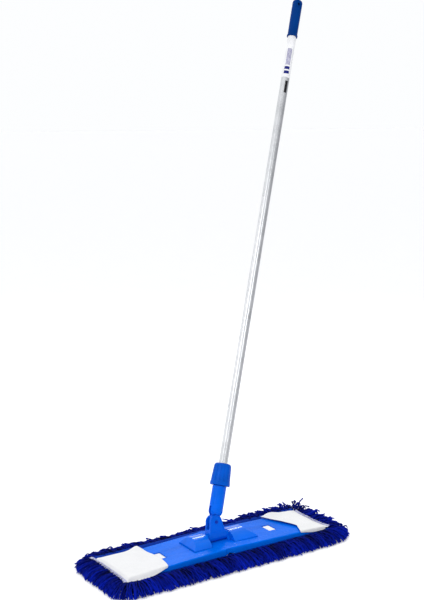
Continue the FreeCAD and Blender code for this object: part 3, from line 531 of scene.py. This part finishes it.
def layer_paths(name, edge, level):
    """Curves, sideways directions and tones of one layer of strands of one edge; the tones carry painted
    shade in the gaps between tufts and on the lower layers.
    """
    share, root_z = LAYERS[level]
    rise, unruly = EDGE_STYLE[(name, edge)]
    length = PAD_BACK - PAD_FRONT if edge == "end" else abs(PAD_END[name])
    count = int(length / SPACING)
    roots, outward, place = edge_frame(name, edge, count)
    across = np.stack([-outward[:, 1], outward[:, 0], np.zeros(count)], axis=-1)
    seed = level * 1.7 + len(edge) * 3.3 + SIDE[name]
    top = level / (len(LAYERS) - 1)
    tuft, middle = tufts(place, level, seed)

    along = np.sign(across[:, 0] if edge != "end" else across[:, 1])
    gather = np.clip((middle - place) * along, -TUFT, TUFT) * GATHER
    lean = 0.004 * along * (edge == "front") + 0.010 * (edge == "back")
    drift = smooth_noise(place, 22.0, seed) * DRIFT * unruly + lean
    sway = drift + gather + RNG.normal(0, DRIFT_OWN * unruly, count)

    stand = shag(name, edge, place) * top * np.clip(0.55 + 0.9 * smooth_noise(tuft, 1.31, seed + 3), 0, 1)
    stand = stand * RNG.uniform(0.7, 1.0, count)
    ragged = 1 + RAGGED * unruly * smooth_noise(tuft, 1.73, seed + 2)
    reach = outline_reach(roots, outward) * share * ragged * RNG.uniform(0.93, 1.03, count)
    reach = reach * (1 - stand / STAND_FULL)

    stray = (RNG.uniform(0, 1, count) < STRAY_SHARE * unruly) & (level > 2)
    base_z = root_z + RNG.normal(0, 0.0008, count)
    arch = 0.25 if edge == "back" else 1.0
    lift = (0.001 + 0.006 * top) * RNG.uniform(0.4, 1.3, count) * arch
    tip_z = LYING_TIP + rise * top * RNG.uniform(0, 1, count) + stray * RNG.uniform(0.002, 0.012, count)
    root = roots - outward * RNG.uniform(0.0, ROOT_IN, count)[:, None]
    shoulder = base_z * 0.62 + tip_z * 0.38 + lift * 0.8 + stand * 0.75
    heights = (base_z, base_z + lift + 0.3 * stand, shoulder, tip_z + stand)
    paths = strand_curves(root, outward, across, reach, sway, heights)
    paths = crinkled(paths, CRINKLE * unruly)

    patchy = 0.5 + 1.1 * smooth_noise(tuft, 2.31, seed + 7)
    # painted shade: strands darken towards the gaps between tufts
    gap_shade = np.clip(np.abs(middle - place) / (0.5 * TUFT), 0, 1) ** 2
    tone_and_shade = np.clip(0.6 * patchy + 0.4 * RNG.uniform(0, 1, count) - 0.25 * gap_shade, 0, 1)
    # painted shade: the lower layers, which lie under the upper ones, are darker
    return paths, across, tone_and_shade * (0.4 + 0.6 * top)


def fringe(name, edge):
    """All strands of one fringe strip, as one mesh."""
    layers = [layer_paths(name, edge, level) for level in range(len(LAYERS))]
    paths = np.concatenate([layer[0] for layer in layers])
    across = np.concatenate([layer[1] for layer in layers])
    tones = np.concatenate([layer[2] for layer in layers])
    radius = taper(len(paths), STEPS, STRAND_R * RNG.uniform(0.85, 1.15, len(paths)))
    made = strands(name + "_fringe_" + edge + "_yarn", paths, radius, across, YARN_BLUE, tones=tones)
    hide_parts(name + "_fringe_" + edge)
    if edge == "end":
        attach(made, name + "_wing")
    else:
        on_half(made)
    return made


PILE_PITCH = (0.0056, 0.0064)
PILE_R = 0.0020
PILE_ROOT = 0.0035        # depth of the loops' roots under the pad's top
LOOP_HALF = 0.0036        # half the width of a loop at its roots
LOOP_STEPS = 8            # points along a loop


def pile_places(name):
    """Middles of the loops, in columns that are staggered by half a pitch."""
    centres = []
    for i in range(int(abs(PAD_END[name]) / PILE_PITCH[0])):
        for j in range(int((PAD_BACK - PAD_FRONT - 0.006) / PILE_PITCH[1])):
            x = SIDE[name] * (PILE_PITCH[0] * (i + 0.5))
            y = PAD_FRONT + 0.005 + PILE_PITCH[1] * (j + 0.5 * (i % 2) + 0.25)
            if y < PAD_BACK - 0.003:
                centres.append((x, y))
    return np.array(centres)


def pile(name):
    """Loops of yarn that cover the underside of one half of the pad."""
    centres = pile_places(name)
    count = len(centres)
    top = PAD_TOP - PILE_ROOT
    t = np.linspace(0, math.pi, LOOP_STEPS)
    turn = RNG.uniform(-0.7, 0.7, count)
    heading = np.stack([np.cos(turn), np.sin(turn)], axis=-1)
    half = LOOP_HALF * RNG.uniform(0.8, 1.25, count)
    lean = RNG.normal(0, 0.0018, (count, 2))
    depth = np.sin(t)[None, :]
    width = (half[:, None] * np.cos(t))[..., None]
    low = LYING_TIP + RNG.uniform(0, 0.0015, count)
    paths = np.zeros((count, LOOP_STEPS, 3))
    paths[:, :, :2] = centres[:, None] - heading[:, None] * width + lean[:, None] * depth[..., None]
    paths[:, :, 2] = top - (top - low)[:, None] * depth ** 0.6
    across = np.stack([-heading[:, 1], heading[:, 0], np.zeros(count)], axis=-1)
    radius = np.full((count, LOOP_STEPS), PILE_R)
    made = strands(name + "_pile_loops", paths, radius, across, YARN_BLUE, sides=6, lobes=0.1)
    replaced = [name + "_pile"] + (["centre_pile"] if name == "left" else [])
    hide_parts(*replaced)
    on_half(made)
    return made


# ---- cloth ----------------------------------------------------------------------
def grid(name, surface, across, along, material, thickness):
    """Sheet over surface(u, v), with a real thickness. across and along are counts or lists of places."""
    us = np.linspace(0, 1, across + 1) if isinstance(across, int) else across
    vs = np.linspace(0, 1, along + 1) if isinstance(along, int) else along
    points = [surface(float(u), float(v)) for v in vs for u in us]
    row = len(us)
    faces = []
    for j in range(len(vs) - 1):
        for i in range(row - 1):
            corner = j * row + i
            faces.append((corner, corner + 1, corner + row + 1, corner + row))
    made = mesh_object(name, points, faces, material)
    solid = made.modifiers.new("thickness", "SOLIDIFY")
    solid.thickness = thickness
    solid.offset = 0.0
    apply_modifiers(made)
    return made


def divisions(coarse, fine, low, high):
    """Places from 0 to 1, every coarse step, and every fine step between low and high."""
    places = np.concatenate([np.arange(0, 1, coarse), np.arange(low, high, fine), [1.0]])
    return np.unique(np.round(places, 6))


def apply_modifiers(piece):
    graph = bpy.context.evaluated_depsgraph_get()
    mesh = bpy.data.meshes.new_from_object(piece.evaluated_get(graph))
    piece.modifiers.clear()
    old = piece.data
    piece.data = mesh
    bpy.data.meshes.remove(old)


def wing_top(x):
    return WING_TOP - WING_SLOPE * abs(x)


# each pocket's mouth: x of its front and back ends, how far it bows outwards, and where along it
MOUTH = {"left": (-0.184, -0.193, 0.0095, 0.4), "right": (0.222, 0.192, 0.024, 0.27)}
POCKET_FRONT = {"left": -0.079, "right": -0.070}
POCKET_BACK = {"left": 0.091, "right": 0.089}
SEAM_X = {"left": -0.299, "right": 0.314}
SEAM_FLARE = {"left": 0.003, "right": 0.010}
# where the back edge arches off the wing: share of the way to the seam, width and height
ARCH = {"left": (0.06, 0.13, 0.0055), "right": (0.25, 0.20, 0.0085)}
MOUTH_LIFT = {"left": 0.0004, "right": 0.0028}   # how far the mouth's middle stands off the wing
SEAM_SPREAD = 1.6         # the front and back seams are reached at this many times the way outwards
SEAM_REST = 0.0022        # height of the sewn-down seams over the pad
CLOTH = 0.0009            # thickness of the pockets, the canvas and the tape
CANVAS_DEPTH = 0.0016
TAPE = 0.0008
HALF_GAP = 0.0004         # distance of each half's sheets from the fold line
BIND_OUT = 0.006          # how far the back tape reaches out over the roots of the fringe, and how high
BIND_RISE = 0.0042
FOLD_DIP = 0.010          # how far the tapes dip inwards at the fold line, and half the dip's length
FOLD_DIP_HALF = 0.006
END_TAPE = 0.020          # width of the tape along each end
TAPE_OUT = 0.002          # how far the front and end tapes reach past the pad
CLEAR = 0.0008            # gap that keeps the cloth off the wing
CORNER_OUT = 0.0008       # how far past the wing's wall the cloth begins to fall


def ease(t):
    t = min(1.0, max(0.0, t))
    return t * t * (3 - 2 * t)


def mouth_x(name, v):
    """Mouth line of a pocket: a soft bow on the left, a crease on the right."""
    front, back, bow, peak = MOUTH[name]
    rise = v / peak if v < peak else (1 - v) / (1 - peak)
    if name == "left":
        rise = math.sin(math.pi / 2 * rise)
    return front + (back - front) * v + bow * rise


def pocket_outline(name, u, v):
    """The x of a pocket's point, the y of its front and back seams there, and how far the seam flares."""
    edge_wall = WING_HALF + CORNER_OUT
    flare = SEAM_FLARE[name] * abs(2 * v - 1) ** 3
    mouth = mouth_x(name, v)
    x = mouth + (SEAM_X[name] + SIDE[name] * flare - mouth) * u
    spread = min(1.0, u * SEAM_SPREAD)
    front = -edge_wall + (POCKET_FRONT[name] + edge_wall) * math.sin(math.pi / 2 * spread)
    front += 0.006 * ease((u - 0.7) / 0.3)
    back = edge_wall + (POCKET_BACK[name] - edge_wall) * spread + 0.008 * u ** 6
    return x, front, back, flare


def wrinkles(x, y, loose, seed):
    """Rise of the cloth in broad folds, higher where it is loose, and in fine creases."""
    broad = 0.0010 * loose * (1 + noise.noise(Vector((x * 26, y * 22, seed))))
    fine = 0.0006 * (1 + noise.noise(Vector((x * 70 + y * 40, y * 60, 3.0))))
    return broad + fine


def pocket_surface(name):
    """Surface of a pocket: close over the wing tip, falling to the seams, arched at the back."""
    tip = abs(WING_END[name]) + CORNER_OUT
    arch_at, arch_width, arch_height = ARCH[name]
    edge_wall = WING_HALF + CORNER_OUT
    low = PAD_TOP + SEAM_REST

    def surface(u, t):
        v = (1 - math.cos(math.pi * t)) / 2
        x, front, back, flare = pocket_outline(name, u, v)
        y = front + (back - front) * v
        over = wing_top(x) + CLEAR + CLOTH / 2
        drop = over - low
        past_tip = ease((abs(x) - tip) / (abs(SEAM_X[name]) + flare - tip))
        at_front = ease((-y - edge_wall) / max(1e-4, -front - edge_wall))
        at_back = ease((y - edge_wall) / max(1e-4, back - edge_wall))
        arch = arch_height * math.exp(-(((u - arch_at) / arch_width) ** 2))
        held_up = (1 - u) ** 1.5 if name == "right" else math.exp(-((u / 0.15) ** 2))
        back_low = low + drop * held_up + arch
        front_low = low + drop * 0.7 * math.exp(-((u / 0.30) ** 2))
        z = over - drop * past_tip
        z += (front_low - over) * at_front * (1 - past_tip)
        z += (back_low - over) * at_back * (1 - past_tip)
        z += arch * ease((v - 0.72) / 0.28) * (1 - at_back) * (1 - past_tip)
        z += MOUTH_LIFT[name] * math.exp(-((u / 0.10) ** 2)) * math.sin(math.pi * v) ** 0.6
        loose = (1 - u) * (1 - at_front) + 0.3
        z += wrinkles(x, y, loose, 1.0 + SIDE[name]) * (1 - at_front)
        return Vector((x, y, max(z, low)))

    return surface


def pocket(name):
    """White pocket sheet over a wing tip."""
    made = grid(name + "_pocket_cloth", pocket_surface(name), 72, 84, POCKET_WHITE, CLOTH)
    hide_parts(name + "_pocket")
    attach(made, name + "_wing")
    return made


def pocket_hem(name):
    """Frayed, over-stitched edge along a pocket's outer seam."""
    side = SIDE[name]
    surface = pocket_surface(name)
    count = 110
    places = np.linspace(0.01, 0.99, count)
    roots = np.array([surface(0.99, float(place)) for place in places]) + UP * 0.0012
    slant = RNG.uniform(-0.5, 0.5, count)
    length = RNG.uniform(0.006, 0.011, count)
    outward = np.stack([side * np.cos(slant), np.sin(slant), np.zeros(count)], axis=-1)
    t = np.linspace(0, 1, 6)[None, :, None]
    paths = roots[:, None, :] + outward[:, None, :] * length[:, None, None] * t
    paths[:, :, 2] += 0.0012 * np.sin(math.pi * t[:, :, 0])
    across = np.stack([-outward[:, 1], outward[:, 0], np.zeros(count)], axis=-1)
    radius = np.tile(np.array([0.0005, 0.0007, 0.0007, 0.0006, 0.0005, 0.0003]), (count, 1))
    made = strands(name + "_pocket_hem_threads", paths, radius, across, YARN_PALE, sides=5, lobes=0.0)
    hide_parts(name + "_pocket_hem")
    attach(made, name + "_wing")
    return made


# the canvas under a window: a broad bulge, with a pillow of the window's size on it
BULGE_HALF = (0.0160, 0.0265)
BULGE_RISE = 0.0076
PILLOW_RISE = 0.0046


def bulge(place, half, sharpness):
    """1 in the middle of a rectangle, falling to 0 past its edges."""
    past = [(abs(at) / size) ** power for at, size, power in zip(place, half, sharpness)]
    return math.exp(-sum(past))


def backing(name):
    """Canvas of one half of the pad. It bulges up into the wing's window."""
    start = SIDE[name] * HALF_GAP
    end = PAD_END[name] - SIDE[name] * 0.001
    length = abs(end - start)
    front = PAD_FRONT + 0.001
    depth = PAD_BACK - PAD_FRONT - 0.002
    window_x = (WINDOW_X[0] + WINDOW_X[1]) / 2
    window_half = ((WINDOW_X[1] - WINDOW_X[0]) / 2 - 0.0005, WINDOW_HALF - 0.0005)

    def surface(u, v):
        x = start + (end - start) * u
        y = front + depth * v
        place = (abs(x) - window_x, y)
        under = bulge(place, BULGE_HALF, (10, 10))
        pillow = bulge(place, window_half, (14, 18))
        return Vector((x, y, PAD_TOP - 0.0012 + BULGE_RISE * under + PILLOW_RISE * pillow))

    columns = divisions(0.02, 0.00085 / length, (window_x - 0.026) / length, (window_x + 0.026) / length)
    rows = divisions(0.03, 0.0009 / depth, (-front - 0.034) / depth, (-front + 0.034) / depth)
    made = grid(name + "_backing_cloth", surface, columns, rows, CANVAS, CANVAS_DEPTH)
    replaced = [name + "_backing"] + (["centre_backing"] if name == "left" else [])
    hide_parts(*replaced)
    on_half(made)
    return made


def edge_tape(name, edge):
    """Woven blue tape sewn along one edge of one half of the pad."""
    side = SIDE[name]
    end = PAD_END[name]

    def long_edge(u, v):
        x = side * HALF_GAP + (end - side * HALF_GAP) * u
        beside = WING_HALF + 0.0005 - FOLD_DIP * math.exp(-((x / FOLD_DIP_HALF) ** 4))
        low, high = (PAD_FRONT - TAPE_OUT, -beside) if edge == "front" else (beside, PAD_BACK + BIND_OUT)
        y = low + (high - low) * v
        curl = 0.0010 * noise.noise(Vector((x * 35, y * 30, 4.0)))
        bound = BIND_RISE * ease((y - PAD_BACK + 0.014) / 0.010)
        return Vector((x, y, PAD_TOP + 0.0006 + curl * 0.5 + bound))

    def short_edge(u, v):
        x = end + side * (TAPE_OUT - END_TAPE * u)
        y = PAD_FRONT + (PAD_BACK - PAD_FRONT) * v
        return Vector((x, y, PAD_TOP + 0.0007))

    surface = short_edge if edge == "end" else long_edge
    columns, rows = (6, 60) if edge == "end" else (110, 10)
    made = grid(name + "_edge_tape_" + edge, surface, columns, rows, TAPE_BLUE, TAPE)
    if edge == "end":
        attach(made, name + "_wing")
        flat = (END_TAPE + TAPE, PAD_BACK - PAD_FRONT + TAPE)
    else:
        on_half(made)
        flat = (abs(end) + TAPE, abs(surface(1, 1).y - surface(1, 0).y) + TAPE)
    return made


# ---- springs -------------------------------------------------------------------
LEAF = 0.0008


def leaf_spring(name):
    """Leaf folded like a Z, standing on the wing's shelf, filling the spring part's box."""
    low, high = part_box(name + "_pedal_spring")
    foot = low.z + LEAF / 2
    head = high.z - LEAF / 2
    ends = (low.x, high.x) if name == "right" else (high.x, low.x)
    corners = [Vector((x, 0, z)) for z in (foot, head) for x in ends]

    def surface(u, v):
        leg = min(int(u * 3), 2)
        place = corners[leg].lerp(corners[leg + 1], u * 3 - leg)
        return Vector((place.x, low.y + (high.y - low.y) * v, place.z))

    made = grid(name + "_pedal_leaf", surface, 18, 2, STEEL, LEAF * 0.9)
    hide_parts(name + "_pedal_spring")
    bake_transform(made)
    return made


# ---- pole print and painted shade strip ------------------------------------------
TUBE_R = 0.01175
PRINT_R = TUBE_R + 0.00055        # just outside the sleeve
PRINT_DEPTH = 0.00012
LABEL_MARGIN = 0.003      # plain sleeve at each end of the print
LABEL_FACING = -0.60      # angle about the pole of the print's middle
LABEL_BANDS = ((0.10, 0.165), (0.20, 0.265))     # shares of the print's length
BAND_TURN = 0.62          # half the angle that a band spans
STRIPES = 4
STRIPE_PLACE = (0.30, 0.68)       # shares of the print's length
STRIPE_FROM = LABEL_FACING - 0.45
STRIPE_PITCH = 0.27               # angles from stripe to stripe, and across one
STRIPE_TURN = 0.13
SHADE_STRIP_BELOW = (0.044, 0.008)      # ends of the painted shade strip on the tube, below the print
SHADE_STRIP_TURN = (LABEL_FACING + 0.15, LABEL_FACING + 0.8)


def pole_point(distance):
    """Point on the pole's axis, at a distance from the upper tilt axis."""
    return UPPER_AT + POLE_DIR * distance


def pole_band(name, start, end, radius, turn_from, turn_to, material):
    """Thin curved patch on the pole, between two distances and two angles about it."""
    side = FRONT_DIR.cross(POLE_DIR)

    def surface(u, v):
        angle = turn_from + (turn_to - turn_from) * u
        round_pole = -FRONT_DIR * math.cos(angle) + side * math.sin(angle)
        return pole_point(start + (end - start) * v) + round_pole * radius

    made = grid(name, surface, 24, 6, material, PRINT_DEPTH)
    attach(made, "pole")
    return made


def label_print():
    """Plain bands and stripes printed on the sleeve's front, and a black strip of painted shade on the
    tube below it.
    """
    low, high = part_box("label_sleeve")
    start = (low.z - UPPER_AT.z) / POLE_DIR.z + LABEL_MARGIN
    length = (high.z - low.z) / POLE_DIR.z - 2 * LABEL_MARGIN
    turns = (LABEL_FACING - BAND_TURN, LABEL_FACING + BAND_TURN)
    for i, (foot, top) in enumerate(LABEL_BANDS):
        pole_band("label_band_%d" % i, start + length * foot, start + length * top, PRINT_R, *turns, INK)
    foot, top = (start + length * share for share in STRIPE_PLACE)
    for i in range(STRIPES):
        turn = STRIPE_FROM + STRIPE_PITCH * i
        pole_band("label_stripe_%d" % i, foot, top, PRINT_R, turn, turn + STRIPE_TURN, PALE_INK)
    # painted shade: a black strip on the tube's right-centre, where the tube falls dark
    foot, top = (start - below for below in SHADE_STRIP_BELOW)
    pole_band("tube_shade_strip", foot, top, TUBE_R + 0.0001, *SHADE_STRIP_TURN, BLACK)


# ---- stage ----------------------------------------------------------------------
FLOOR_HALF = 60.0


def light(name, place, target, size, power):
    lamp = bpy.data.lights.new(name, "AREA")
    lamp.shape = "RECTANGLE"
    lamp.size = size[0]
    lamp.size_y = size[1]
    lamp.energy = power
    made = bpy.data.objects.new(name, lamp)
    made.location = place
    made.rotation_euler = (Vector(target) - Vector(place)).to_track_quat("-Z", "Y").to_euler()
    made.visible_camera = False
    bpy.context.scene.collection.objects.link(made)
    return made


def world_light():
    """Pale surroundings, white behind and to the left, greyer to the right of the viewer."""
    world = bpy.data.worlds.new("studio")
    world.use_nodes = True
    tree = world.node_tree
    background = tree.nodes["Background"]
    background.inputs["Strength"].default_value = 1.0
    place = tree.nodes.new("ShaderNodeTexCoord")
    dot = tree.nodes.new("ShaderNodeVectorMath")
    dot.operation = "DOT_PRODUCT"
    dot.inputs[1].default_value = Vector((0.75, -0.66, 0.0))
    ramp = tree.nodes.new("ShaderNodeValToRGB")
    ramp.color_ramp.elements[0].position = 0.25
    ramp.color_ramp.elements[0].color = (0.98, 0.99, 1.0, 1.0)
    ramp.color_ramp.elements[1].position = 0.85
    ramp.color_ramp.elements[1].color = (0.40, 0.41, 0.43, 1.0)
    tree.links.new(place.outputs["Generated"], dot.inputs[0])
    tree.links.new(dot.outputs["Value"], ramp.inputs["Fac"])
    tree.links.new(ramp.outputs["Color"], background.inputs["Color"])
    bpy.context.scene.world = world


def studio():
    """Pale floor, pale surroundings and soft lights from the left, the front and behind."""
    paper = Shader("floor_paper", (0.93, 0.93, 0.94), roughness=0.7)
    tones = [(0.3, (0.92, 0.92, 0.93)), (0.7, (0.94, 0.94, 0.95))]
    paper.set("Base Color", paper.ramp(paper.noise(6.0, 3.0), tones))
    paper.bsdf.inputs["Emission Color"].default_value = (1.0, 1.0, 1.0, 1.0)
    paper.bsdf.inputs["Emission Strength"].default_value = 0.15
    half = FLOOR_HALF
    corners = [(-half, -half, 0), (half, -half, 0), (half, half, 0), (-half, half, 0)]
    floor = mesh_object("floor", corners, [(0, 1, 2, 3)], paper.material, smooth=False)
    world_light()
    light("key", (-2.4, -0.8, 2.6), (0, 0, 0.3), (1.4, 1.4), 26)
    fill = light("fill", (1.2, -2.8, 1.4), (0.1, 0, 0.3), (2.0, 2.0), 20)
    fill.visible_glossy = False
    light("back", (1.6, 2.3, 1.95), (0, 0, 0.05), (1.0, 0.35), 24)
    bpy.context.scene.view_settings.view_transform = "Standard"


def camera():
    """Camera at the reference view: from the front left, looking slightly down."""
    yaw = math.radians(33.67)
    pitch = math.radians(9.655)
    data = bpy.data.cameras.new("camera")
    data.lens = 66.0
    data.sensor_width = 36.0
    made = bpy.data.objects.new("camera", data)
    made.location = (-1.49204, -2.22261, 1.11473)
    made.rotation_euler = (math.pi / 2 - pitch, 0, -yaw)
    bpy.context.scene.collection.objects.link(made)
    bpy.context.scene.camera = made


# ---- build ----------------------------------------------------------------------
camera()
studio()
paint_nodes()
for half_name in SIDE:
    pile(half_name)
    backing(half_name)
    for edge_name in ("front", "back", "end"):
        edge_tape(half_name, edge_name)
        fringe(half_name, edge_name)
    pocket(half_name)
    pocket_hem(half_name)
    leaf_spring(half_name)
label_print()
